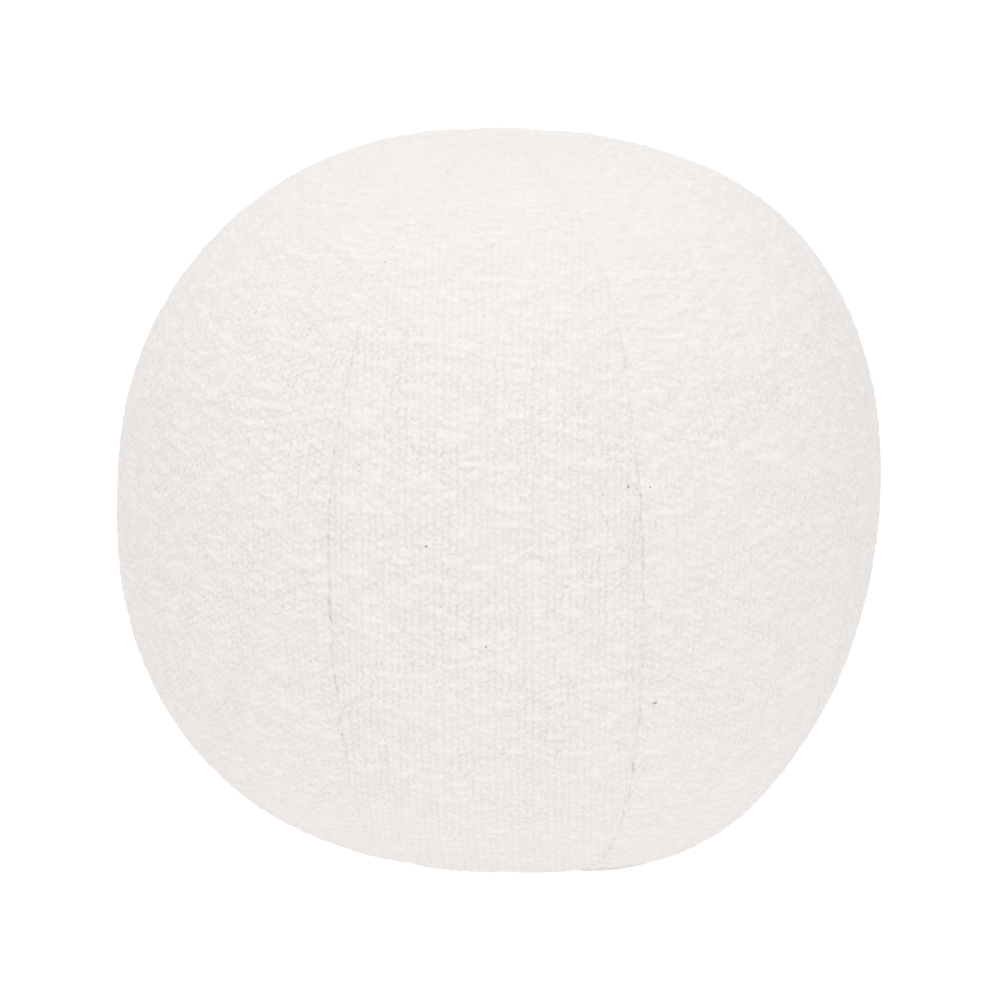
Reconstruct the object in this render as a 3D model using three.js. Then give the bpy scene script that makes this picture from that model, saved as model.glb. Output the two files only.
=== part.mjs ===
// A ball pillow of eight cloth gores sewn edge to edge and filled until it is nearly round.
// Each gore is a closed wedge: the cloth panel with the share of the filling that lies behind it.
// Millimetres, +Z up. The origin is the middle of the flat spot that the ball rests on.
// Azimuth 0 faces -Y, through the middle of the first gore, and grows towards +X.

import * as THREE from "three";

// The round form that the seams follow, measured from the middle of the widest level.
const goreCount = 8;
const widestRadius = 149.4;
const riseAboveWidest = 134;
const dropBelowWidest = 150;
// A round of exponent 2 is an ellipse, and a higher one has fuller shoulders.
const upperFullness = 2.28;
const lowerFullness = 2.62;

// How deep the resting weight presses the bottom flat.
const footPress = 5;

// The filling crowns each gore between its seams, and each seam draws its edges in.
const crownHeight = 1.1;
const seamDepth = 1.3;
const seamReach = 5;
// Crowns and seams grow from nothing on the axis to their full depth at this radius.
const fullReliefRadius = 110;

// The points of the gores are pulled in where they meet at the top.
const topDimpleDepth = 1.5;
const topDimpleReach = 10;

// Space between the solids of two neighbouring gores.
const gapBetweenGores = 0.3;

// Rows run from the top of a gore to the rim of the foot, and columns run across it.
const rowCount = 44;
const columnCount = 14;

// The filling is uneven. Each soft swell, or hollow where the lift is below 0, has its middle at
// an azimuth and a latitude in degrees, an angular reach in degrees and a lift in millimetres.
const swells = [
  { azimuth: 97, latitude: 47, reach: 19, lift: 2.5 },
  { azimuth: -127, latitude: 62, reach: 19, lift: 0.8 },
  { azimuth: -92, latitude: 36, reach: 19, lift: -2.6 },
  { azimuth: -82, latitude: -15, reach: 19, lift: 3.6 },
  { azimuth: -60, latitude: -44, reach: 19, lift: 0.6 },
  { azimuth: -6, latitude: -62, reach: 19, lift: -1.1 },
  { azimuth: 50, latitude: -54, reach: 19, lift: 5.3 },
  { azimuth: 81, latitude: -32, reach: 19, lift: -4.7 },
  { azimuth: 94, latitude: -4, reach: 15, lift: 1.0 },
  { azimuth: -100, latitude: 0, reach: 15, lift: 1.1 },
  { azimuth: 150, latitude: -14, reach: 18, lift: -1.6 },
  { azimuth: -158, latitude: 18, reach: 20, lift: 1.8 },
  { azimuth: -140, latitude: -40, reach: 16, lift: 1.8 },
  { azimuth: 174, latitude: 44, reach: 17, lift: -1.4 },
];
// Swells fade out over this many degrees above the rim of the foot.
const swellFade = 12;

// Sewn by hand and eye, no seam runs quite true. Its offset in degrees of azimuth is given above
// the widest level, at it and low down. The first seam is on the left of the first gore.
const seamBends = [
  { high: -0.2, middle: -0.7, low: -2.6 },
  { high: -0.9, middle: -0.3, low: 1.3 },
  { high: -0.6, middle: 0.5, low: -1.4 },
  { high: 0.9, middle: -0.4, low: 1.1 },
  { high: -1.2, middle: 0.2, low: -0.8 },
  { high: 0.7, middle: 0.6, low: 1.6 },
  { high: 1.1, middle: -0.5, low: -1.2 },
  { high: -0.8, middle: 0.3, low: 1.4 },
];
const bendPlaces = { high: 22, middle: 0, low: -52 };
const bendReach = 16;

// Undyed boucle: matt, and a little warmer than white.
const clothColour = 0xefeae7;
const clothRoughness = 0.95;

const degree = Math.PI / 180;
const goreAngle = (2 * Math.PI) / goreCount;
const { smoothstep, lerp } = THREE.MathUtils;
const restHeight = dropBelowWidest - footPress;

// Falls from 1 at the middle of a soft form to nearly nothing at twice its reach.
function softFall(distance, reach) {
  return Math.exp(-((distance / reach) ** 2));
}

// The latitude at which the round form reaches the surface it rests on.
function footLatitude() {
  const share = (restHeight / dropBelowWidest) ** lowerFullness;
  const footRadius = widestRadius * (1 - share) ** (1 / lowerFullness);
  return -Math.atan2(restHeight, footRadius);
}

// Distance from the middle of the widest level out to the round form.
function roundReach(latitude) {
  const outward = Math.cos(latitude);
  const upward = Math.sin(latitude);
  const fullness = upward < 0 ? lowerFullness : upperFullness;
  const polarRadius = upward < 0 ? dropBelowWidest : riseAboveWidest;
  const levelPart = (outward / widestRadius) ** fullness;
  const uprightPart = (Math.abs(upward) / polarRadius) ** fullness;
  return (levelPart + uprightPart) ** (-1 / fullness);
}

function directionAt(azimuth, latitude) {
  return new THREE.Vector3(
    Math.sin(azimuth) * Math.cos(latitude),
    -Math.cos(azimuth) * Math.cos(latitude),
    Math.sin(latitude),
  );
}

function seamAzimuth(seam, latitude) {
  const bend = seamBends[seam % goreCount];
  const places = Object.keys(bendPlaces);
  const offset = places.reduce((sum, place) => {
    const distance = latitude / degree - bendPlaces[place];
    return sum + bend[place] * softFall(distance, bendReach);
  }, 0);
  return (seam - 0.5) * goreAngle + offset * degree;
}

function swellLift(direction, latitude) {
  const lift = swells.reduce((sum, swell) => {
    const middle = directionAt(swell.azimuth * degree, swell.latitude * degree);
    const distance = direction.angleTo(middle) / degree;
    return sum + swell.lift * softFall(distance, swell.reach);
  }, 0);
  return lift * smoothstep(latitude, footLatitude(), footLatitude() + swellFade * degree);
}

// A point on the outside of a gore. Across runs from -1 at its left seam to 1 at its right one.
function skinPoint(gore, across, latitude) {
  const reach = roundReach(latitude);
  const radius = reach * Math.cos(latitude);
  const edgeTurn = Math.asin(gapBetweenGores / 2 / radius);
  const left = seamAzimuth(gore, latitude) + edgeTurn;
  const right = seamAzimuth(gore + 1, latitude) - edgeTurn;
  const azimuth = lerp(left, right, (across + 1) / 2);
  const direction = directionAt(azimuth, latitude);

  const seamDistance = ((1 - Math.abs(across)) * (right - left) * radius) / 2;
  const crown = crownHeight * Math.cos((across * Math.PI) / 2) ** 2;
  const valley = seamDepth * softFall(seamDistance, seamReach);
  const dimple = latitude > 0 ? topDimpleDepth * softFall(radius, topDimpleReach) : 0;
  const relief = (crown - valley) * smoothstep(radius, 0, fullReliefRadius);
  const raised = swellLift(direction, latitude) + relief - dimple;
  const point = direction.multiplyScalar(reach + raised);
  point.z += restHeight;
  return point;
}

// A point close to the upright axis of the ball, on the inner edge of a gore's wedge.
function axisPoint(gore, height) {
  const offAxis = gapBetweenGores / 2 / Math.sin(goreAngle / 2);
  const azimuth = gore * goreAngle;
  return new THREE.Vector3(Math.sin(azimuth) * offAxis, -Math.cos(azimuth) * offAxis, height);
}

// The closed wedge of one gore: its skin, two flat sides that meet at the axis, and its foot.
function goreGeometry(gore) {
  const points = [];
  const triangles = [];
  const add = (point) => points.push(point) - 1;

  const top = add(axisPoint(gore, restHeight + riseAboveWidest - topDimpleDepth));
  const middle = add(axisPoint(gore, restHeight));
  const bottom = add(axisPoint(gore, 0));

  const rows = [];
  for (let row = 1; row <= rowCount; row += 1) {
    const latitude = lerp(Math.PI / 2, footLatitude(), row / rowCount);
    const line = [];
    for (let column = 0; column <= columnCount; column += 1) {
      // Columns lie closer together beside the seams.
      const across = Math.sin(lerp(-Math.PI / 2, Math.PI / 2, column / columnCount));
      const point = skinPoint(gore, across, latitude);
      if (row === rowCount) point.z = 0;
      line.push(add(point));
    }
    rows.push(line);
  }

  const rim = rows[rowCount - 1];
  for (let column = 0; column < columnCount; column += 1) {
    triangles.push(top, rows[0][column], rows[0][column + 1]);
    triangles.push(bottom, rim[column + 1], rim[column]);
    for (let row = 1; row < rowCount; row += 1) {
      const upper = rows[row - 1];
      const lower = rows[row];
      triangles.push(upper[column], lower[column], lower[column + 1]);
      triangles.push(upper[column], lower[column + 1], upper[column + 1]);
    }
  }

  const leftEdge = [top, ...rows.map((line) => line[0]), bottom];
  const rightEdge = [top, ...rows.map((line) => line[columnCount]), bottom];
  for (let step = 1; step < leftEdge.length; step += 1) {
    triangles.push(middle, leftEdge[step], leftEdge[step - 1]);
    triangles.push(middle, rightEdge[step - 1], rightEdge[step]);
  }

  const geometry = new THREE.BufferGeometry().setFromPoints(points);
  geometry.setIndex(triangles);
  geometry.computeVertexNormals();
  return geometry;
}

const ballPillow = new THREE.Group();
for (let gore = 0; gore < goreCount; gore += 1) {
  const cloth = new THREE.MeshStandardMaterial({
    color: clothColour,
    roughness: clothRoughness,
    metalness: 0,
  });
  const panel = new THREE.Mesh(goreGeometry(gore), cloth);
  panel.name = `gore_${gore + 1}`;
  ballPillow.add(panel);
}

export default ballPillow;
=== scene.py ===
"""A ball pillow of eight boucle gores sewn edge to edge, on a pale floor. Metres, +Z up."""
import math

import bmesh
import bpy
import numpy as np
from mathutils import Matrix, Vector


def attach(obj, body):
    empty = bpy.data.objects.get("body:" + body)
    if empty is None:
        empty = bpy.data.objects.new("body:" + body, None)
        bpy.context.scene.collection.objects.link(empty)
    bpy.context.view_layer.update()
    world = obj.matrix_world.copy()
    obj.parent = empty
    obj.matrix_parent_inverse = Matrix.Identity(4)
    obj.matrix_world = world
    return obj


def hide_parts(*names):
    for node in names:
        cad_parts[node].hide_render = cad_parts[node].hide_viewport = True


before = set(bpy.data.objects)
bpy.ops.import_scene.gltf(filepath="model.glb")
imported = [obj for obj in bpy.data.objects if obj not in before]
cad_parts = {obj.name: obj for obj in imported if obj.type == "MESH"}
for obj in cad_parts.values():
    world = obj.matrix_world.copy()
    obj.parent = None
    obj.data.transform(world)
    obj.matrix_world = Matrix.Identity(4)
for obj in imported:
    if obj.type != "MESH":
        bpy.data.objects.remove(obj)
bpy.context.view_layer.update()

# Camera
# A long lens looks at the ball from in front and a little above, turned a touch to the right of
# the first gore's middle, with white all round.
mm = 0.001
widest_level = 145 * mm
camera_distance = 1516 * mm
camera_azimuth = math.radians(1.8)
camera_elevation = math.radians(14.28)
aim_below_widest_level = 10.7 * mm
aim_left = 0.5 * mm
sensor_width_mm = 36
focal_length_mm = 137.5


def placed(name, data):
    """A new object with the data given, linked into the scene."""
    thing = bpy.data.objects.new(name, data)
    bpy.context.scene.collection.objects.link(thing)
    return thing


level_back = Vector((math.sin(camera_azimuth), -math.cos(camera_azimuth), 0))
back = level_back * math.cos(camera_elevation) + Vector((0, 0, math.sin(camera_elevation)))
right = Vector((math.cos(camera_azimuth), math.sin(camera_azimuth), 0))
camera_up = back.cross(right)
ball_middle = Vector((0, 0, widest_level))

lens = bpy.data.cameras.new("camera")
lens.sensor_width = sensor_width_mm
lens.lens = focal_length_mm
camera = placed("camera", lens)
camera.location = ball_middle + back * camera_distance
aim = ball_middle - camera_up * aim_below_widest_level - right * aim_left
camera.rotation_euler = (aim - camera.location).to_track_quat("-Z", "Y").to_euler()
bpy.context.scene.camera = camera

# The filled ball
# The filling pushes the sewn cover into a round that is a little lower than it is wide, uneven
# where the filling has shifted, and pressed flat where it rests.
gore_count = 8
gore_angle = 2 * math.pi / gore_count
widest_radius = 149.4 * mm
rise_above_widest = 134 * mm
drop_below_widest = 150 * mm
upper_fullness = 2.28
lower_fullness = 2.62
foot_softness = 1.5 * mm
top_dimple_depth = 1.5 * mm
top_dimple_reach = 10 * mm

# Azimuth, latitude and reach of each soft swell in degrees, and its lift in millimetres.
swells = (
    dict(azimuth=97, latitude=47, reach=19, lift=2.5),
    dict(azimuth=-127, latitude=62, reach=19, lift=0.8),
    dict(azimuth=-92, latitude=36, reach=19, lift=-2.6),
    dict(azimuth=-82, latitude=-15, reach=19, lift=3.6),
    dict(azimuth=-60, latitude=-44, reach=19, lift=0.6),
    dict(azimuth=-6, latitude=-62, reach=19, lift=-1.1),
    dict(azimuth=50, latitude=-54, reach=19, lift=5.3),
    dict(azimuth=81, latitude=-32, reach=19, lift=-4.7),
    dict(azimuth=94, latitude=-4, reach=15, lift=1.0),
    dict(azimuth=-100, latitude=0, reach=15, lift=1.1),
    dict(azimuth=150, latitude=-14, reach=18, lift=-1.6),
    dict(azimuth=-158, latitude=18, reach=20, lift=1.8),
    dict(azimuth=-140, latitude=-40, reach=16, lift=1.8),
    dict(azimuth=174, latitude=44, reach=17, lift=-1.4),
)
swell_fade = math.radians(12)


def round_reach(latitude):
    """Distance from the middle of the widest level out to the round: a superellipse in latitude,
    with one height and fullness above the widest level and another below it."""
    upward = np.sin(latitude)
    fullness = np.where(upward < 0, lower_fullness, upper_fullness)
    polar = np.where(upward < 0, drop_below_widest, rise_above_widest)
    level_part = (np.cos(latitude) / widest_radius) ** fullness
    upright_part = (np.abs(upward) / polar) ** fullness
    return (level_part + upright_part) ** (-1 / fullness)


def soft_step(value, low, high):
    """0 below low, 1 above high, and a smooth cubic between."""
    share = np.clip((value - low) / (high - low), 0, 1)
    return share * share * (3 - 2 * share)


def soft_fall(distance, reach):
    """1 in the middle and nearly nothing at twice the reach: a bell curve."""
    return np.exp(-((distance / reach) ** 2))


def foot_latitude():
    """The latitude at which the round reaches the floor, from the superellipse below."""
    share = (widest_level / drop_below_widest) ** lower_fullness
    return -math.atan2(widest_level, widest_radius * (1 - share) ** (1 / lower_fullness))


def turned(azimuth, level, upright):
    """The level and upright parts as a vector; azimuth 0 faces -Y and grows towards +X."""
    return np.stack([np.sin(azimuth) * level, -np.cos(azimuth) * level, upright], -1)


def direction_at(azimuth, latitude):
    """Unit vector from the middle of the ball."""
    return turned(azimuth, np.cos(latitude), np.sin(latitude))


def swell_lift(azimuth, latitude):
    """The sum of the swells, each a bell curve of the angle from its middle, faded to nothing
    at the foot."""
    direction = direction_at(azimuth, latitude)
    total = np.zeros(direction.shape[:-1])
    for swell in swells:
        middle = direction_at(math.radians(swell["azimuth"]), math.radians(swell["latitude"]))
        angle = np.degrees(np.arccos(np.clip(direction @ middle, -1, 1)))
        total += swell["lift"] * mm * soft_fall(angle, swell["reach"])
    return total * soft_step(latitude, foot_latitude(), foot_latitude() + swell_fade)


def press_on_floor(height):
    """Heights under the floor are brought up to it, with a short parabola where the cloth
    leaves the floor."""
    blend = (height + foot_softness) ** 2 / (4 * foot_softness)
    return np.where(height > foot_softness, height, np.where(height < -foot_softness, 0, blend))


def profile(latitude):
    """Radius and height of the round, pressed on the floor."""
    reach = round_reach(latitude)
    return reach * np.cos(latitude), press_on_floor(reach * np.sin(latitude) + widest_level)


def ball_point(azimuth, latitude, raised):
    """A point of the cover: the round plus its swells and what is raised on it, pressed on the
    floor."""
    radius = round_reach(latitude) * np.cos(latitude)
    dimple = top_dimple_depth * soft_fall(radius, top_dimple_reach) * (latitude > 0)
    reach = round_reach(latitude) + swell_lift(azimuth, latitude) + raised - dimple
    point = direction_at(azimuth, latitude) * reach[..., None]
    point[..., 2] = press_on_floor(point[..., 2] + widest_level)
    return point


# The seams
# The gores are sewn right sides together, so each seam is a plain drawn-in line, and no seam
# runs quite true.
seam_depth = 0.8 * mm
seam_reach = 4 * mm
full_relief_radius = 110 * mm
# Each seam's offset in degrees of azimuth above the widest level, at it and low down, and how
# clearly it shows at the widest level, as a share, and near the foot, as a share of that.
seam_bends = (
    dict(high=-0.2, middle=-0.7, low=-2.6, clear=0.85, clear_low=0.15),
    dict(high=-0.9, middle=-0.3, low=1.3, clear=0.78, clear_low=1.0),
    dict(high=-0.6, middle=0.5, low=-1.4, clear=0.3, clear_low=0.9),
    dict(high=0.9, middle=-0.4, low=1.1, clear=0.75, clear_low=0.5),
    dict(high=-1.2, middle=0.2, low=-0.8, clear=0.9, clear_low=0.3),
    dict(high=0.7, middle=0.6, low=1.6, clear=0.7, clear_low=0.8),
    dict(high=1.1, middle=-0.5, low=-1.2, clear=0.85, clear_low=0.4),
    dict(high=-0.8, middle=0.3, low=1.4, clear=0.3, clear_low=0.9),
)
bend_places = dict(high=22, middle=0, low=-52)
bend_reach = 16


def seam_azimuth(seam, latitude):
    """The seam's even place round the ball plus a bell curve of offset at each bend."""
    bend = seam_bends[seam % gore_count]
    offset = sum(
        bend[name] * soft_fall(np.degrees(latitude) - place, bend_reach)
        for name, place in bend_places.items()
    )
    return (seam - 0.5) * gore_angle + np.radians(offset)


# Blowing up the cover
# The sewn cover is simulated as one coarse cloth bag, held along its seams and on its foot and
# pressed out by the filling, so that each gore gets the crown that its own shape gives it.
crown_height = 1.1 * mm
bag_rows = 72
bag_columns = 12
bag_slack = 2 * mm
bag_frames = 20
filling_pressure = 4.0
crown_limit = 6 * mm
# The crown fades to nothing inside this radius, and this percentile of it gets the full height.
crown_fade_radius = 60 * mm
fullest_percentile = 98

bag_latitude = np.linspace(math.pi / 2, foot_latitude(), bag_rows + 1)[1:]
bag_across = np.arange(bag_columns) / bag_columns


def ring_quads(rings, sides):
    """Quads between rings of points that follow one another, each ring closed round its sides."""
    ring = np.arange(rings - 1)[:, None] * sides
    side = np.arange(sides)
    after = (side + 1) % sides
    quads = np.stack([ring + side, ring + sides + side, ring + sides + after, ring + after], -1)
    return quads.reshape(-1, 4)


def bag_grid():
    """Azimuth and latitude of the bag's points: rows by gore by steps across the gore, evenly
    between one seam and the next."""
    latitude = bag_latitude[:, None, None]
    seams = [seam_azimuth(seam, bag_latitude) for seam in range(gore_count + 1)]
    seams = np.stack(seams, 1)[..., None]
    azimuth = seams[:, :-1] + np.diff(seams, axis=1) * bag_across
    return azimuth, np.broadcast_to(latitude, azimuth.shape)


def blow_up_bag():
    """Crown height for each point of the bag grid: how far pressure moves the pinned cloth
    outward, capped, and scaled so that the fullest gores reach the crown height."""
    azimuth, latitude = bag_grid()
    around = gore_count * bag_columns
    start = ball_point(azimuth, latitude, -bag_slack).reshape(-1, 3)
    top = ball_point(np.zeros(1), np.full(1, math.pi / 2), -bag_slack)
    points = np.concatenate([start, top, [[0, 0, 0]]])
    top_index = len(start)
    column = np.arange(around)
    after = (column + 1) % around
    last = (bag_rows - 1) * around
    faces = ring_quads(bag_rows, around).tolist()
    faces += np.stack([np.full(around, top_index), column, after], -1).tolist()
    faces += np.stack([np.full(around, top_index + 1), last + after, last + column], -1).tolist()
    bag_mesh = bpy.data.meshes.new("bag")
    bag_mesh.from_pydata(points.tolist(), [], faces)
    bag = placed("bag", bag_mesh)

    sewn = bag.vertex_groups.new(name="sewn")
    held = (np.arange(len(start)) % bag_columns == 0) | (np.arange(len(start)) >= last)
    sewn.add(np.nonzero(held)[0].tolist() + [top_index, top_index + 1], 1.0, "REPLACE")
    cloth = bag.modifiers.new("cloth", "CLOTH")
    cloth.settings.vertex_group_mass = sewn.name
    cloth.settings.effector_weights.gravity = 0
    cloth.settings.use_pressure = True
    cloth.settings.uniform_pressure_force = filling_pressure
    cloth.point_cache.frame_start = 1
    cloth.point_cache.frame_end = bag_frames
    for moment in range(1, bag_frames + 1):
        bpy.context.scene.frame_set(moment)
    blown = bag.evaluated_get(bpy.context.evaluated_depsgraph_get())
    moved = np.empty(len(points) * 3)
    blown.data.vertices.foreach_get("co", moved)
    bpy.context.scene.frame_set(1)
    bpy.data.objects.remove(bag)
    bpy.data.meshes.remove(bag_mesh)

    travel = moved.reshape(-1, 3)[: len(start)] - start
    outward = direction_at(azimuth, latitude).reshape(-1, 3)
    crown = np.clip((travel * outward).sum(-1), 0, crown_limit).reshape(azimuth.shape)
    radius, _ = profile(latitude)
    crown *= soft_step(radius, 0, crown_fade_radius)
    return crown * crown_height / np.percentile(crown, fullest_percentile)


crowns = blow_up_bag()


def crown_at(gore, share_across, latitude):
    """Crown of a gore read between the bag's points, straight in both directions."""
    following = crowns[:, (gore + 1) % gore_count, :1]
    table = np.concatenate([crowns[:, gore], following], 1)
    row = np.interp(-latitude, -bag_latitude, np.arange(bag_rows))
    column = np.clip(share_across, 0, 1) * bag_columns
    r = np.minimum(row.astype(int), bag_rows - 2)
    c = np.minimum(column.astype(int), bag_columns - 1)
    down, along = row - r, column - c
    upper = table[r, c] * (1 - along) + table[r, c + 1] * along
    lower = table[r + 1, c] * (1 - along) + table[r + 1, c + 1] * along
    return upper * (1 - down) + lower * down


# The boucle cloth
# Thick uneven yarn stands up in ribs of round pearls, each rib half a pearl out of step with the
# next, with a dark hole wherever three pearls meet. Slubs of weft cross over them, and small
# loops and fibres cover it all.
column_pitch = 2.72 * mm
pearl_pitch = 2.9 * mm
weft_pitch = pearl_pitch / 2
yarn_height = 0.25 * mm
lump_height = 0.36 * mm
slub_height = 0.4 * mm
slub_length = 4.5 * mm
slub_reach = 1.2 * mm
slub_cover = 0.6
slub_range = (0.66, 0.95)
thick_length = 9 * mm
lump_size = (2.3 * mm, 1.9 * mm)
swell_size = (6 * mm, 5 * mm)
broad_patch = (16 * mm, 14 * mm)
small_patch = (3.5 * mm, 3 * mm)
wander_size = (3.2 * mm, 2.8 * mm)
loop_size = (1.1 * mm, 0.8 * mm)
dot_size = (1.2 * mm, 1 * mm)
drift = 0.5 * mm
thread_wander = 2.8 * mm
loop_wander = 0.9 * mm
table_size = 512
# How much weaker the weave is made high and low on the ball, and between which latitudes. High up this
# softens its painted shade and bump to stand in for the flatter light on the top.
smooth_top = 0.62
smooth_bottom = 0.25
top_latitudes = (math.radians(22), math.radians(64))
bottom_latitudes = (math.radians(20), math.radians(50))
slope_step = 0.4 * mm
# The hole and valley weights paint shade into the weave's hollows, the dome weight paints light on its
# crests, and the loop weight is the yarn's own random tone.
hole_depth = 0.5
valley_depth = 0.12
dome_tone = 0.2
loop_tone = 0.38
dome_bump = 0.35
loop_bump = 0.45
bump_distance = 0.5 * mm
# The cloth's colour ramp from shade 0 to 1: dark as painted shade in its holes, its even colour, and
# pale as painted light on its crests.
hole_shade_colour = (0.5684, 0.5346, 0.5169, 1)
cloth_colour = (0.742, 0.711, 0.6953, 1)
crest_light_colour = (0.815, 0.7852, 0.7703, 1)
cloth_shade = 0.62


def lattice(seed):
    """A square table of even random numbers between 0 and 1."""
    return np.random.default_rng(seed).random((table_size, table_size))


def soft_noise(x, y, seed):
    """Random numbers at whole x and y, blended with a smooth cubic between them."""
    numbers = lattice(seed)
    column, row = np.floor(x).astype(int), np.floor(y).astype(int)
    across, down = soft_step(x - column, 0, 1), soft_step(y - row, 0, 1)
    near, far = column % table_size, (column + 1) % table_size
    first, second = row % table_size, (row + 1) % table_size
    upper = numbers[first, near] * (1 - across) + numbers[first, far] * across
    lower = numbers[second, near] * (1 - across) + numbers[second, far] * across
    return upper * (1 - down) + lower * down


def patch_noise(across, along, size, seed):
    """Soft noise over the cloth, with patches of the width and length given."""
    return soft_noise(across / size[0], along / size[1], seed)


def line_noise(along, length, seed):
    """Soft noise along one line, with waves of the length given."""
    return soft_noise(along / length, along * 0, seed)


def thread_noise(along, thread, seed):
    """Soft noise along each thread, with no likeness between one thread and the next."""
    return soft_noise(along, thread.astype(float), seed)


def slubs(across, along, seed):
    """How much slub from 0 to 1: each weft thread swells where the noise along it is high, and
    its swelling is a bell curve across the thread."""
    own = np.floor(along / weft_pitch).astype(int)
    most = np.zeros(across.shape)
    for beside in (-1, 0, 1):
        thread = own + beside
        swelling = soft_step(thread_noise(across / slub_length, thread, seed), *slub_range)
        distance = along - (thread + 0.5) * weft_pitch
        most = np.maximum(most, swelling * soft_fall(distance, slub_reach))
    return most


def boucle_relief(across, along, slub, seed):
    """Height of the cloth in metres: warp and weft that run thick and thin, lumps of a few loops
    each, and slubs that cover them."""
    warp = np.floor(across / column_pitch).astype(int)
    thick = thread_noise(along / thick_length, warp, seed + 3) - 0.5
    lumps = patch_noise(across, along, lump_size, seed + 4) - 0.5
    swell = patch_noise(across, along, swell_size, seed + 5) - 0.5
    yarn = yarn_height * thick + lump_height * (lumps + swell)
    return slub_height * slub + (1 - slub_cover * slub) * yarn


def relief_slope(across, along, seed):
    """How steeply the cloth's relief rises towards the top of the gore: the difference between its
    heights a little above and a little below, over the way between them. It sets a painted light
    from above in the cloth's tone."""
    above, below = along + slope_step, along - slope_step
    high = boucle_relief(across, above, slubs(across, above, seed), seed)
    low = boucle_relief(across, below, slubs(across, below, seed), seed)
    return (high - low) / (2 * slope_step)


def weave_strength(latitude, slub):
    """How clearly the weave shows, from 1 down. It is weaker high and low on the ball, and high up this
    stands in for the flatter light on the top. Slubs hide half of it."""
    up = soft_step(latitude, *top_latitudes)
    down = soft_step(-latitude, *bottom_latitudes)
    return (1 - smooth_top * up - smooth_bottom * down) * (1 - 0.5 * slub)


def gap_patches(across, along, seed):
    """How dark the painted shade in the holes between the pearls may be: soft noise of two sizes,
    multiplied.
    """
    broad = soft_step(patch_noise(across, along, broad_patch, seed), 0.1, 0.9)
    small = soft_step(patch_noise(across, along, small_patch, seed + 1), 0.2, 0.8)
    return (0.5 + 0.5 * broad) * (0.6 + 0.4 * small)


def matt_material(name, roughness, specular):
    """A new material and its shader, with the shader's roughness and specular level set."""
    material = bpy.data.materials.new(name)
    material.use_nodes = True
    shader = material.node_tree.nodes["Principled BSDF"]
    shader.inputs["Roughness"].default_value = roughness
    shader.inputs["Specular IOR Level"].default_value = specular
    return material, shader


def ramped(material, value, dark, pale):
    """A ramp from the dark colour at 0 to the pale one at 1, read at the value."""
    ramp = material.node_tree.nodes.new("ShaderNodeValToRGB")
    ramp.color_ramp.elements[0].color = dark
    ramp.color_ramp.elements[1].color = pale
    material.node_tree.links.new(value, ramp.inputs["Fac"])
    return ramp


def added_node(material, kind, **settings):
    """A new node in the material, with its sockets set by name, each space an underscore."""
    node = material.node_tree.nodes.new(kind)
    for name, value in settings.items():
        node.inputs[name.replace("_", " ")].default_value = value
    return node


def point_value(material, name):
    """A number that the mesh carries at its points."""
    carried = material.node_tree.nodes.new("ShaderNodeAttribute")
    carried.attribute_name = name
    return carried.outputs["Fac"]


def thread_space(material, across, along):
    """The cloth's thread map counted in steps of the two lengths given."""
    place = material.node_tree.nodes.new("ShaderNodeUVMap")
    place.uv_map = "threads"
    counted = added_node(material, "ShaderNodeMapping", Scale=(1 / across, 1 / along, 1))
    material.node_tree.links.new(place.outputs["UV"], counted.inputs["Vector"])
    return counted.outputs["Vector"]


def yarn_noise(material, across, along):
    """A soft noise node on the thread map, with about one wave in each pair of the lengths."""
    noise = added_node(material, "ShaderNodeTexNoise", Scale=1, Detail=1, Roughness=0.6)
    noise.noise_dimensions = "2D"
    vector = thread_space(material, across, along)
    material.node_tree.links.new(vector, noise.inputs["Vector"])
    return noise


def graded(material, value, start, end, low=0, high=1):
    """The value brought to low at the start and high at the end, with a smooth cubic between."""
    grade = material.node_tree.nodes.new("ShaderNodeMapRange")
    grade.interpolation_type = "SMOOTHSTEP"
    for name, number in (("From Min", start), ("From Max", end), ("To Min", low), ("To Max", high)):
        grade.inputs[name].default_value = number
    material.node_tree.links.new(value, grade.inputs["Value"])
    return grade.outputs["Result"]


def reckoned(material, operation, first, second):
    """One step of arithmetic on two values, each a socket or a plain number."""
    node = material.node_tree.nodes.new("ShaderNodeMath")
    node.operation = operation
    for socket, value in zip(node.inputs, (first, second)):
        if isinstance(value, (int, float)):
            socket.default_value = value
        else:
            material.node_tree.links.new(value, socket)
    return node.outputs["Value"]


def weighed(material, *parts):
    """The sum of the values given, each less its own middle and times its own weight."""
    total = 0.0
    for value, middle, weight in parts:
        share = reckoned(material, "SUBTRACT", value, middle)
        share = reckoned(material, "MULTIPLY", share, weight)
        total = reckoned(material, "ADD", share, total)
    return total


def pushed(material, vector, noise, push):
    """The vector moved by the noise's colour times the push, each in its own units."""
    move = material.node_tree.nodes.new("ShaderNodeVectorMath")
    move.operation = "MULTIPLY_ADD"
    move.inputs[1].default_value = push
    material.node_tree.links.new(noise.outputs["Color"], move.inputs[0])
    material.node_tree.links.new(vector, move.inputs[2])
    return move.outputs["Vector"]


def pearl_waves(material, wander, loops):
    """Three cosine waves at sixty degrees to one another, whose sum has a round crest at each
    pearl of a staggered packing and a low point wherever three pearls meet. The thread map under
    them is pushed about by noise of a few threads and a little by the loops. Returns the rising,
    the falling and the upright wave."""
    across, along = 2 * column_pitch, pearl_pitch
    vector = thread_space(material, across, along)
    for noise, reach in ((wander, thread_wander), (loops, loop_wander)):
        vector = pushed(material, vector, noise, (reach / across, reach / along, 0))
    split = material.node_tree.nodes.new("ShaderNodeSeparateXYZ")
    material.node_tree.links.new(vector, split.inputs["Vector"])
    x, y = split.outputs["X"], split.outputs["Y"]
    phases = (
        reckoned(material, "ADD", x, y),
        reckoned(material, "SUBTRACT", x, y),
        reckoned(material, "ADD", x, x),
    )
    turns = [reckoned(material, "MULTIPLY", phase, 2 * math.pi) for phase in phases]
    return [reckoned(material, "COSINE", turn, 0) for turn in turns]


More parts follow.
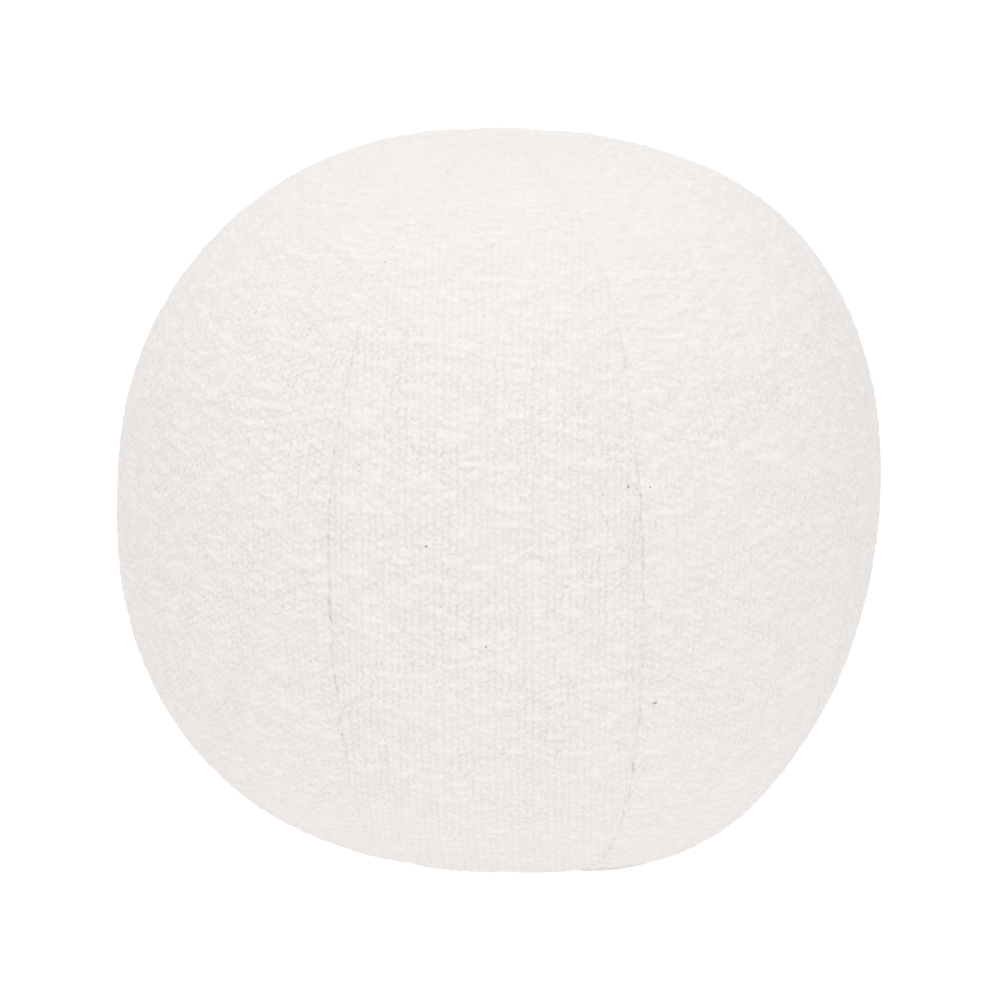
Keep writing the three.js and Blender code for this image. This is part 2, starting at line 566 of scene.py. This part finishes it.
def boucle_material():
    """Matt undyed boucle. The weave is staggered pearls of yarn with soft dark holes between them
    and small loops all over. Its tone is paler on the crests as painted light and darker and warmer
    in the holes as painted shade. Some yarn is creamier than the rest, and the bump follows the same
    weave. How strong each of the three waves is, how clearly the weave shows and how dark its holes
    are come from the mesh. So does its broad light and dark, which is partly painted light and shade."""
    material, shader = matt_material("boucle", 0.95, 0.15)
    nodes, links = material.node_tree.nodes, material.node_tree.links
    shader.inputs["Sheen Weight"].default_value = 0.1
    shader.inputs["Sheen Roughness"].default_value = 0.6

    wander = yarn_noise(material, *wander_size)
    loops = yarn_noise(material, *loop_size)
    dots = yarn_noise(material, *dot_size)
    chance = nodes.new("ShaderNodeSeparateColor")
    links.new(wander.outputs["Color"], chance.inputs["Color"])
    waves = pearl_waves(material, wander, loops)
    shares = [point_value(material, name) for name in ("rising", "falling", "upright")]
    crest = 0.0
    for wave, share in zip(waves, shares):
        crest = reckoned(material, "ADD", reckoned(material, "MULTIPLY", wave, share), crest)
    tall = graded(material, chance.outputs["Blue"], 0.3, 0.7, 0.5, 1.25)
    dome = reckoned(material, "MULTIPLY", graded(material, crest, -1, 1.8), tall)

    even = reckoned(material, "ADD", reckoned(material, "ADD", waves[0], waves[1]), waves[2])
    holes = reckoned(material, "MULTIPLY", graded(material, even, -0.5, -1.5), hole_depth)
    valley = graded(material, waves[2], 0, -1, 0, valley_depth)
    gaps = reckoned(material, "ADD", holes, valley)
    broken = graded(material, dots.outputs["Fac"], 0.42, 0.65, 0.05, 1)
    for share in (broken, point_value(material, "gap_patch")):
        gaps = reckoned(material, "MULTIPLY", gaps, share)

    strength = point_value(material, "weave")
    loop_height = loops.outputs["Fac"]
    tone = weighed(material, (dome, 0.45, dome_tone), (gaps, 0, -1), (loop_height, 0.5, loop_tone))
    tone = reckoned(material, "MULTIPLY", tone, strength)
    shades = weighed(material, (point_value(material, "shade"), -0.72, 1), (tone, 0, 1))
    colours = ramped(material, shades, hole_shade_colour, crest_light_colour)
    colours.color_ramp.elements.new(cloth_shade).color = cloth_colour
    creamy = nodes.new("ShaderNodeHueSaturation")
    yarn_cream = (chance.outputs["Red"], 0.5, 0.95)
    cream = weighed(material, (point_value(material, "cream"), 0, 1), yarn_cream)
    links.new(cream, creamy.inputs["Saturation"])
    links.new(colours.outputs["Color"], creamy.inputs["Color"])
    links.new(creamy.outputs["Color"], shader.inputs["Base Color"])

    height = weighed(material, (dome, 0, dome_bump), (loop_height, 0.5, loop_bump))
    height = reckoned(material, "MULTIPLY", height, strength)
    bump = added_node(material, "ShaderNodeBump", Strength=1, Distance=bump_distance)
    links.new(height, bump.inputs["Height"])
    links.new(bump.outputs["Normal"], shader.inputs["Normal"])
    return material


# The gores
# Each gore is a leaf of boucle cut with its threads along its middle line. Its edges turn in at
# the seams, where the stitches hold them together, and behind it lies its share of the filling.
across_step = 0.8 * mm
along_step = 0.82 * mm
turn_distances = (0, 0.22 * mm, 0.5 * mm)
turn_in = 0.9 * mm
roll_depth = 0.35 * mm
roll_reach = 0.42 * mm
stitch_noise = 1.8 * mm
half_seam = 0.002 * mm
seam_wobble = 0.45 * mm
cloth_sink = 0.45 * mm
map_shift = 200 * column_pitch
# Noise starts from its own number for each use, and a gore's numbers follow its seed.
seam_seeds = dict(wobble=700, bow=750, stitch=900, stretch=940, ripple=980)
gore_seeds = dict(drift_across=50, drift_along=51, mottle=60, tint=61, gaps=62)
wobble_length = 3.2 * mm
bow_length = 9 * mm
stretch_length = 12 * mm
ripple_length = 2.4 * mm
ripple_height = 1.4 * lump_height
wobble_radii = (20 * mm, 60 * mm)
# A seam closes between the first latitudes, going up, shows less between the second, going down,
# and draws the cloth in less between the third.
closing_latitudes = (math.radians(12), math.radians(50))
fading_latitudes = (math.radians(28), math.radians(42))
resting_latitudes = (math.radians(35), math.radians(58))
# Near a gore's points its turned-in edge takes at most the first share of the way to the middle
# line, and each step of the turn the second. Columns nearer to the edge than the snap move to it.
turn_limit = 0.75
edge_limit = 0.25
snap = 0.3 * across_step
drift_across_size = (7 * mm, 11 * mm)
drift_along_size = (9 * mm, 6 * mm)
mottle_size = (8 * mm, 7 * mm)
tint_size = (7 * mm, 6 * mm)
# Reach above the floor of the painted contact shadow, darker and warmer, round the foot.
contact_shadow_reach = 5 * mm
# What each thing adds to the shade of the cloth, and to how creamy it is. Mottle, tint and
# slubs are the cloth's own. The slope of its relief adds a painted light from above, and its low
# parts add a painted shade. The seam line adds a darker, browner painted shade, and the foot a
# darker, warmer painted contact shadow. The cloth is made less creamy high up, and towards +X by
# the last amount for each metre, as painted cooler light from above and from the right.
shade_weights = dict(mottle=0.06, slub=0.03, hollow_shade=-0.08, painted_top_light=0.42, edge=-0.45, contact_shadow=-0.3)
cream_weights = dict(even=1.15, tint=0.3, edge=0.5, contact_shadow=0.3, high=-0.3, painted_cool_side=-0.8)
cool_light_heights = (100 * mm, 260 * mm)
# How strongly each gore's pearls line up in rising, falling and upright rows, and how clearly
# its weave shows, in its tone and its bump. The rows that stand out on each gore are painted
# light, standing in for light from its upper sides.
weave_shares = (
    dict(rising=0.55, falling=0.5, upright=0.95, clear=0.92),
    dict(rising=0.9, falling=0.4, upright=0.65, clear=0.75),
    dict(rising=0.6, falling=0.8, upright=0.6, clear=0.9),
    dict(rising=0.6, falling=0.5, upright=0.9, clear=0.95),
    dict(rising=0.8, falling=0.6, upright=0.6, clear=0.85),
    dict(rising=0.5, falling=0.6, upright=0.9, clear=1.0),
    dict(rising=0.8, falling=0.5, upright=0.7, clear=0.9),
    dict(rising=0.7, falling=0.9, upright=0.5, clear=0.92),
)


def gore_rows():
    """Latitude of each row and its distance along the ball from the widest level: the arc length
    of the profile is summed in fine steps, and even steps of it are read back as latitudes."""
    fine = np.linspace(math.pi / 2, -math.pi / 2, 6001)
    radius, height = profile(fine)
    arc = np.concatenate([[0], np.cumsum(np.hypot(np.diff(radius), np.diff(height)))])
    count = round(arc[-1] / along_step)
    marks = np.linspace(0, arc[-1], count + 1)
    return np.interp(marks, arc, fine), np.interp(0, -fine, arc) - marks


row_latitude, row_along = gore_rows()
row_radius, row_height = profile(row_latitude)


def row_normals():
    """Outward normal of the round in each row as a level part and an upright part: the row's
    tangent turned a quarter."""
    level, upright = -np.gradient(row_height), np.gradient(row_radius)
    length = np.hypot(level, upright)
    return level / length, upright / length


def seam_place(seam, latitude, radius, along):
    """Distance of a seam round the ball from the first gore's middle line: its azimuth times the
    radius, and a small wobble that fades towards the points of the gores."""
    own = seam % gore_count
    wobble = line_noise(along, wobble_length, seam_seeds["wobble"] + own) - 0.5
    wobble += 0.6 * (line_noise(along, bow_length, seam_seeds["bow"] + own) - 0.5)
    fade = soft_step(radius, *wobble_radii)
    return radius * seam_azimuth(seam, latitude) + 2 * seam_wobble * wobble * fade


def gore_layout(gore):
    """Distances across the gore from its middle line, as a grid of rows by columns. Columns lie
    a fixed step apart, those past the turned-in edge are brought back to it, and three more
    follow each seam."""
    middle = row_radius * gore * gore_angle
    left = seam_place(gore, row_latitude, row_radius, row_along) - middle + half_seam
    right_edge = seam_place(gore + 1, row_latitude, row_radius, row_along) - middle - half_seam
    left, right_edge = np.minimum(left, 0), np.maximum(right_edge, 0)
    widest = max(-left.min(), right_edge.max())
    reach = math.ceil(widest / across_step)
    columns = np.arange(-reach, reach + 1) * across_step
    inner_left = left + np.minimum(turn_in, -left * turn_limit)
    inner_right = right_edge - np.minimum(turn_in, right_edge * turn_limit)
    middle = np.clip(columns, inner_left[:, None], inner_right[:, None])
    near_left = middle - inner_left[:, None] < snap
    near_right = inner_right[:, None] - middle < snap
    middle = np.where(near_left, inner_left[:, None], middle)
    middle = np.where(near_right, inner_right[:, None], middle)
    turns = [(distance, edge_limit * step) for step, distance in enumerate(turn_distances)]
    left_turn = [left + np.minimum(distance, -left * share) for distance, share in turns]
    right_turn = [
        right_edge - np.minimum(distance, right_edge * share) for distance, share in turns
    ]
    grid = np.column_stack([*left_turn, middle, *right_turn[::-1]])
    return grid, left, right_edge


def seam_openness(seam, latitude):
    """How clearly a seam shows, from 1 down: its own clearness, less near the foot, and fading
    high on the ball, where the filling stretches the cloth so evenly that the seam closes."""
    bend = seam_bends[seam % gore_count]
    high = soft_step(latitude, *closing_latitudes)
    low = soft_step(-latitude, *fading_latitudes)
    return bend["clear"] * (1 - 0.95 * high) * (1 - (1 - bend["clear_low"]) * low)


def seam_sink(seam, radius, latitude):
    """How far a seam draws the cloth in: it grows from nothing on the axis, and fades where the
    seam is closed and beside the foot."""
    near_foot = soft_step(-latitude, *resting_latitudes)
    share = soft_step(radius, 0, full_relief_radius) * (1 - near_foot)
    return seam_depth * share * (0.4 + 0.6 * seam_openness(seam, latitude))


def seam_state(seam, along, radius, latitude):
    """How deep a seam turns its two edges in, how far it draws the cloth in and how its line
    rises and falls. The edges turn in as a share of the full depth: they are closed at the
    stitches and open in short lengths between them. The same share sets the painted shade along
    the seam line."""
    seam %= gore_count
    between = soft_step(line_noise(along, stitch_noise, seam_seeds["stitch"] + seam), 0.4, 0.9)
    longer = 0.5 + 0.5 * line_noise(along, stretch_length, seam_seeds["stretch"] + seam)
    pull = (0.25 + 0.85 * between) * longer * seam_openness(seam, latitude)
    ripple = ripple_height * (line_noise(along, ripple_length, seam_seeds["ripple"] + seam) - 0.5)
    return np.stack([pull, seam_sink(seam, radius, latitude), ripple])


def gore_mesh(gore):
    """The gore as a closed wedge. Grid points that lie on the one before them in their row are
    merged with it, and the cloth's relief is laid on the round along its normals."""
    grid, left, right_edge = gore_layout(gore)
    kept = np.ones(grid.shape, bool)
    kept[:, 1:] = grid[:, 1:] != grid[:, :-1]
    index = (np.cumsum(kept) - 1).reshape(grid.shape)
    row = np.broadcast_to(np.arange(len(grid))[:, None], grid.shape)[kept]
    across = grid[kept]
    along = row_along[row]
    latitude = row_latitude[row]
    radius = np.maximum(row_radius[row], half_seam / math.sin(gore_angle / 2))
    azimuth = gore * gore_angle + across / radius

    width = np.maximum(right_edge - left, 1e-9)[row]
    from_left, from_right = across - left[row], right_edge[row] - across
    edge_distance = np.minimum(from_left, from_right)
    left_state = seam_state(gore, along, radius, latitude)
    right_state = seam_state(gore + 1, along, radius, latitude)
    pull, sink, ripple = np.where(from_left < from_right, left_state, right_state)
    raised = crown_at(gore, from_left / width, latitude) - sink * soft_fall(edge_distance, seam_reach)
    points = ball_point(azimuth, latitude, raised)

    seed = 100 * (gore + 1)
    seeds = {use: seed + number for use, number in gore_seeds.items()}
    drift_across = patch_noise(across, along, drift_across_size, seeds["drift_across"]) - 0.5
    drift_along = patch_noise(across, along, drift_along_size, seeds["drift_along"]) - 0.5
    thread_across = across + 2 * drift * drift_across
    thread_along = along + 2 * drift * drift_along
    slub = slubs(thread_across, thread_along, seed)
    relief = boucle_relief(thread_across, thread_along, slub, seed)
    edge = np.exp(-((edge_distance / roll_reach) ** 1.5))
    height = relief * (1 - edge) + (ripple - roll_depth * pull) * edge - cloth_sink
    # Painted light from above: the cloth's tone is lightened where its relief faces up.
    painted_top_light = -relief_slope(thread_across, thread_along, seed)
    level, upright = row_normals()
    normal = turned(azimuth, level[row], upright[row])
    points = points + normal * height[:, None]
    points[:, 2] = np.maximum(points[:, 2], 0)

    corners = index[:-1, :-1], index[1:, :-1], index[1:, 1:], index[:-1, 1:]
    a, b, c, d = (corner.ravel() for corner in corners)
    triangles = np.concatenate([np.stack([a, b, c], -1), np.stack([a, c, d], -1)])
    first, second, third = triangles.T
    whole = (first != second) & (second != third) & (third != first)
    skin = triangles[whole]
    heart = len(points)
    middle_point = direction_at(np.array(gore * gore_angle), np.zeros(()))
    middle_point = middle_point * half_seam / math.sin(gore_angle / 2) + [0, 0, widest_level]
    points = np.concatenate([points, middle_point[None]])
    left_line, right_line = index[:, 0], index[:, -1]
    hearts = np.full(len(left_line) - 1, heart)
    left_side = np.stack([hearts, left_line[1:], left_line[:-1]], -1)
    right_side = np.stack([hearts, right_line[:-1], right_line[1:]], -1)
    faces = np.concatenate([skin, left_side, right_side])

    mesh = bpy.data.meshes.new(f"boucle_gore_{gore + 1}")
    mesh.vertices.add(len(points))
    mesh.vertices.foreach_set("co", points.ravel())
    mesh.loops.add(faces.size)
    mesh.loops.foreach_set("vertex_index", faces.ravel())
    mesh.polygons.add(len(faces))
    mesh.polygons.foreach_set("loop_start", np.arange(0, faces.size, 3))
    mesh.update(calc_edges=True)
    mesh.polygons.foreach_set("use_smooth", np.ones(len(faces), bool))
    ends = np.empty(len(mesh.edges) * 2, int)
    mesh.edges.foreach_get("vertices", ends)
    ends = ends.reshape(-1, 2)
    cut_edge = np.isin(ends, left_line).all(1) | np.isin(ends, right_line).all(1)
    mesh.edges.foreach_set("use_edge_sharp", cut_edge)
    threads = np.zeros((len(points), 2))
    threads[:heart] = np.stack([thread_across + gore * map_shift, thread_along], -1)
    uv = mesh.uv_layers.new(name="threads")
    uv.data.foreach_set("uv", threads[faces.ravel()].ravel())
    # Painted shade: the cloth is darker where its relief lies low, as shade in its hollows.
    hollow_shade = np.clip(0.5 - (relief - cloth_sink) / (2 * lump_height), 0, 1)
    mottle = patch_noise(thread_across, thread_along, mottle_size, seeds["mottle"]) - 0.5
    tint = patch_noise(thread_across, thread_along, tint_size, seeds["tint"]) - 0.5
    # Painted contact shadow: the cloth is darker and warmer close to the floor.
    painted_contact_shadow = soft_fall(points[:heart, 2], contact_shadow_reach)
    shares = weave_shares[gore]
    # Painted cooler light: the cloth is less creamy high up and towards +X.
    high = soft_step(points[:heart, 2], *cool_light_heights)
    reasons = dict(
        even=1,
        mottle=mottle,
        tint=tint,
        slub=slub,
        hollow_shade=hollow_shade,
        painted_top_light=painted_top_light,
        # Painted shade along the seam line, darker and browner where the edges are pulled in.
        edge=edge * pull,
        contact_shadow=painted_contact_shadow,
        high=high,
        painted_cool_side=points[:heart, 0],
    )
    carried = dict(
        shade=sum(weight * reasons[name] for name, weight in shade_weights.items()),
        weave=shares["clear"] * weave_strength(latitude, slub),
        gap_patch=gap_patches(thread_across, thread_along, seeds["gaps"]),
        cream=sum(weight * reasons[name] for name, weight in cream_weights.items()),
    )
    for name in ("rising", "falling", "upright"):
        carried[name] = np.full(heart, shares[name])
    for name, values in carried.items():
        attribute = mesh.attributes.new(name, "FLOAT", "POINT")
        attribute.data.foreach_set("value", np.append(values, 0))
    mesh.validate()
    return mesh


boucle = boucle_material()
for gore in range(gore_count):
    panel = placed(f"boucle_gore_{gore + 1}", gore_mesh(gore))
    panel.data.materials.append(boucle)
    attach(panel, "root")
    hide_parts(f"gore_{gore + 1}")

# The stitches
# The gores are sewn with a plain running stitch of undyed thread. Where the cloth is pulled in,
# each stitch shows as a short thread across the seam, pressed into the boucle at both ends.
stitch_spacing = 2.5 * mm
stitch_half_length = 0.8 * mm
stitch_slant = 0.35
thread_radius = 0.14 * mm
stitch_end_height = -0.8 * mm
stitch_middle_height = -0.57 * mm
stitch_rings = 4
stitch_sides = 5
thread_dark = (0.55, 0.515, 0.49, 1)
thread_pale = (0.80, 0.765, 0.74, 1)
stitch_scatter = 0.4 * mm
stitch_seed = 41
last_stitch_radius = 45 * mm


def stitch_mesh():
    """All the stitches in one mesh. The centre line of each is a shallow arch, a half wave from
    one end to the other, and its skin is a ring of points round each place on that line."""
    count = int((row_along[0] - row_along[-1]) / stitch_spacing)
    marks = row_along[0] - (np.arange(count) + 0.5) * stitch_spacing
    turn = np.random.default_rng(stitch_seed).uniform(-1, 1, (gore_count, count, 2))
    rings = np.linspace(-1, 1, stitch_rings)
    arch = np.cos(rings * math.pi / 2)
    rise = stitch_end_height + (stitch_middle_height - stitch_end_height) * arch
    sides = np.arange(stitch_sides) * 2 * math.pi / stitch_sides
    level_rows, upright_rows = row_normals()
    pieces = []
    for seam in range(gore_count):
        along = marks + stitch_scatter * turn[seam, :, 0]
        latitude = np.interp(-along, -row_along, row_latitude)
        radius = np.interp(-along, -row_along, row_radius)
        shown = radius > last_stitch_radius
        along, latitude, radius = along[shown], latitude[shown], radius[shown]
        place = seam_place(seam, latitude, radius, along)
        slant = stitch_slant * (1 + 0.5 * turn[seam, shown, 1])
        line_across = place[:, None] + rings * stitch_half_length * np.cos(slant)[:, None]
        line_along = along[:, None] + rings * stitch_half_length * np.sin(slant)[:, None]
        line_latitude = np.interp(-line_along, -row_along, row_latitude)
        azimuth = line_across / radius[:, None]
        sink = -seam_sink(seam, radius, latitude)[:, None]
        base = ball_point(azimuth, line_latitude, sink)
        level = np.interp(-line_along, -row_along, level_rows)
        upright = np.interp(-line_along, -row_along, upright_rows)
        normal = turned(azimuth, level, upright)
        round_way = np.stack([np.cos(azimuth), np.sin(azimuth), azimuth * 0], -1)
        down_way = np.cross(normal, round_way)
        middle = base + normal * rise[:, None]
        out = np.cos(sides)[:, None] * normal[..., None, :]
        aside = np.sin(sides)[:, None] * down_way[..., None, :]
        pieces.append(middle[..., None, :] + thread_radius * (out + aside))
    points = np.concatenate(pieces)
    number = len(points)
    side = np.arange(stitch_sides)
    each = np.arange(number)[:, None, None] * stitch_rings * stitch_sides
    faces = (ring_quads(stitch_rings, stitch_sides) + each).reshape(-1, 4).tolist()
    first_cap = side[None] + each[:, 0]
    last_cap = (stitch_rings - 1) * stitch_sides + side[::-1][None] + each[:, 0]
    faces += first_cap.tolist() + last_cap.tolist()
    mesh = bpy.data.meshes.new("seam_stitches")
    mesh.from_pydata(points.reshape(-1, 3).tolist(), [], faces)
    mesh.polygons.foreach_set("use_smooth", np.ones(len(faces), bool))
    mesh.validate()
    return mesh


def thread_material():
    """Undyed cotton thread: matt, a little creamier than the cloth, with noise of its own."""
    material, shader = matt_material("sewing thread", 0.85, 0.25)
    links = material.node_tree.links
    place = material.node_tree.nodes.new("ShaderNodeTexCoord")
    fibres = added_node(material, "ShaderNodeTexNoise", Scale=2500, Detail=1)
    links.new(place.outputs["Object"], fibres.inputs["Vector"])
    colours = ramped(material, fibres.outputs["Fac"], thread_dark, thread_pale)
    links.new(colours.outputs["Color"], shader.inputs["Base Color"])
    return material


stitches = placed("seam_stitches", stitch_mesh())
stitches.data.materials.append(thread_material())
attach(stitches, "root")

# The flecks of husk
# Bits of seed husk are spun into undyed yarn. A few dark ones show on the front, where the
# picture has them, and more are scattered thinly over the side away from the camera.
fleck_count = 40
fleck_radius = 0.38 * mm
fleck_thickness = 0.16 * mm
fleck_points_round = 6
fleck_rows = 4
fleck_seed = 77
picture_width = 1000
husk_dark = (0.32, 0.295, 0.275, 1)
husk_pale = (0.62, 0.585, 0.56, 1)
# Place of each clear fleck in the picture in pixels, its width and height in fleck radii, and how
# pale it is.
clear_flecks = (
    dict(right=629, down=487, wide=1.3, high=1.6, pale=0.2),
    dict(right=423, down=546, wide=1.7, high=1.4, pale=0.15),
    dict(right=484, down=647, wide=1.2, high=1.2, pale=0.15),
    dict(right=656, down=702, wide=2.8, high=1.1, pale=0.25),
    dict(right=651, down=487, wide=1.2, high=0.9, pale=0.35),
    dict(right=360, down=465, wide=0.9, high=1.0, pale=0.4),
    dict(right=346, down=386, wide=0.9, high=0.9, pale=0.5),
    dict(right=602, down=495, wide=0.9, high=0.8, pale=0.5),
    dict(right=459, down=640, wide=1.0, high=1.0, pale=0.5),
    dict(right=443, down=632, wide=0.9, high=0.8, pale=0.55),
    dict(right=583, down=556, wide=0.7, high=0.6, pale=0.6),
    dict(right=384, down=261, wide=0.9, high=0.9, pale=0.6),
    dict(right=343, down=735, wide=1.6, high=1.2, pale=0.3),
)


def skin_points():
    """Points and outward directions of all the gores, at every third point of their meshes."""
    points, normals = [], []
    for gore in range(gore_count):
        mesh = bpy.data.meshes[f"boucle_gore_{gore + 1}"]
        sources = (points, mesh.vertices, "co"), (normals, mesh.vertex_normals, "vector")
        for found, values, field in sources:
            flat = np.empty(len(values) * 3)
            values.foreach_get(field, flat)
            found.append(flat.reshape(-1, 3)[:-1:3])
    return np.concatenate(points), np.concatenate(normals)


def seen_at(points, facing, right_pixels, down_pixels):
    """The point nearest to a place in the picture, of those that face the camera: each point is
    carried to the picture by dividing its way off the camera's axis by its way along it."""
    turn = np.array(camera.matrix_basis.to_3x3())
    place = (points - np.array(camera.location)) @ turn
    scale = picture_width * lens.lens / lens.sensor_width
    across = picture_width / 2 + scale * place[:, 0] / -place[:, 2]
    down = picture_width / 2 - scale * place[:, 1] / -place[:, 2]
    away = np.hypot(across - right_pixels, down - down_pixels)
    return int(np.argmin(np.where(facing, away, np.inf)))


def fleck_mesh():
    """Each fleck is a flattened ball, rows of points from one pole to the other, that lies in the
    cloth with its upper half showing."""
    points, normals = skin_points()
    facing = (normals * (np.array(camera.location) - points)).sum(-1) > 0
    rng = np.random.default_rng(fleck_seed)
    chosen = [seen_at(points, facing, f["right"], f["down"]) for f in clear_flecks]
    chosen += rng.choice(np.nonzero(~facing)[0], fleck_count).tolist()
    size = rng.uniform(0.4, 0.9, (len(chosen), 2))
    size[: len(clear_flecks)] = [(f["wide"], f["high"]) for f in clear_flecks]
    pale = rng.uniform(0.2, 0.8, len(chosen))
    pale[: len(clear_flecks)] = [f["pale"] for f in clear_flecks]
    middle, normal = points[chosen], normals[chosen]
    across = np.cross([0, 0, 1.0], normal)
    across /= np.maximum(np.linalg.norm(across, axis=1, keepdims=True), 1e-6)
    upward = np.cross(normal, across)
    tilt = np.linspace(0, math.pi, fleck_rows + 1)[:, None]
    round_it = np.arange(fleck_points_round) * 2 * math.pi / fleck_points_round
    wide = np.sin(tilt) * np.cos(round_it) * fleck_radius
    high = np.sin(tilt) * np.sin(round_it) * fleck_radius
    thick = np.cos(tilt) * np.ones_like(round_it) * fleck_thickness
    ball = (
        wide[None, ..., None] * (across * size[:, :1])[:, None, None]
        + high[None, ..., None] * (upward * size[:, 1:])[:, None, None]
        + thick[None, ..., None] * normal[:, None, None]
    )
    grid = (middle[:, None, None] + ball).reshape(-1, 3)
    quads = ring_quads(fleck_rows + 1, fleck_points_round)
    each = np.arange(len(chosen))[:, None, None] * (fleck_rows + 1) * fleck_points_round
    mesh = bpy.data.meshes.new("husk_flecks")
    mesh.from_pydata(grid.tolist(), [], (quads + each).reshape(-1, 4).tolist())
    carried = mesh.attributes.new("pale", "FLOAT", "POINT")
    carried.data.foreach_set("value", np.repeat(pale, (fleck_rows + 1) * fleck_points_round))
    tidy = bmesh.new()
    tidy.from_mesh(mesh)
    bmesh.ops.remove_doubles(tidy, verts=tidy.verts, dist=0.001 * mm)
    bmesh.ops.recalc_face_normals(tidy, faces=tidy.faces)
    tidy.to_mesh(mesh)
    tidy.free()
    mesh.polygons.foreach_set("use_smooth", np.ones(len(mesh.polygons), bool))
    return mesh


def husk_material():
    """Seed husk: dull grey brown, with noise over it, and paler in some bits than in others."""
    material, shader = matt_material("seed husk", 0.8, 0.2)
    links = material.node_tree.links
    place = material.node_tree.nodes.new("ShaderNodeTexCoord")
    patches = added_node(material, "ShaderNodeTexNoise", Scale=900, Detail=1)
    links.new(place.outputs["Object"], patches.inputs["Vector"])
    shades = weighed(material, (point_value(material, "pale"), 0, 1), (patches.outputs["Fac"], 0.5, 0.5))
    colours = ramped(material, shades, husk_dark, husk_pale)
    links.new(colours.outputs["Color"], shader.inputs["Base Color"])
    return material


flecks = placed("husk_flecks", fleck_mesh())
flecks.data.materials.append(husk_material())
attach(flecks, "root")

# Floor and light
# A white studio: an even white surround, a large soft light overhead, another low in front, and a
# pale floor that runs out of the picture on all sides and glows, so that it looks pure white.
floor_reach = 6
corner_signs = ((-1, -1), (1, -1), (1, 1), (-1, 1))
floor_corners = [(x * floor_reach, y * floor_reach, 0) for x, y in corner_signs]
floor_mesh = bpy.data.meshes.new("floor")
floor_mesh.from_pydata(floor_corners, [], [(0, 1, 2, 3)])
floor = placed("floor", floor_mesh)
floor.location.z = -0.05 * mm
floor_paint, floor_shader = matt_material("floor", 0.9, 0.1)
floor_shader.inputs["Base Color"].default_value = (0.22, 0.22, 0.22, 1)
floor_shader.inputs["Emission Color"].default_value = (1, 1, 1, 1)
floor_shader.inputs["Emission Strength"].default_value = 0.9
floor_mesh.materials.append(floor_paint)

surround = bpy.data.worlds.new("surround")
surround.use_nodes = True
backdrop = surround.node_tree.nodes["Background"]
backdrop.inputs["Color"].default_value = (1, 1, 1, 1)
backdrop.inputs["Strength"].default_value = 1.0
bpy.context.scene.world = surround

# Place in metres, width in metres and power in watts of each soft light.
soft_lights = (
    dict(name="softbox", place=(-0.1, -0.3, 1.7), width=1.4, power=5.0),
    dict(name="front_box", place=(0, -2.0, 0.1), width=1, power=5.4),
)
for light in soft_lights:
    glow = bpy.data.lights.new(light["name"], "AREA")
    glow.shape = "DISK"
    glow.size = light["width"]
    glow.energy = light["power"]
    box = placed(light["name"], glow)
    box.location = light["place"]
    box.rotation_euler = (ball_middle - box.location).to_track_quat("-Z", "Y").to_euler()

bpy.context.scene.view_settings.view_transform = "Standard"
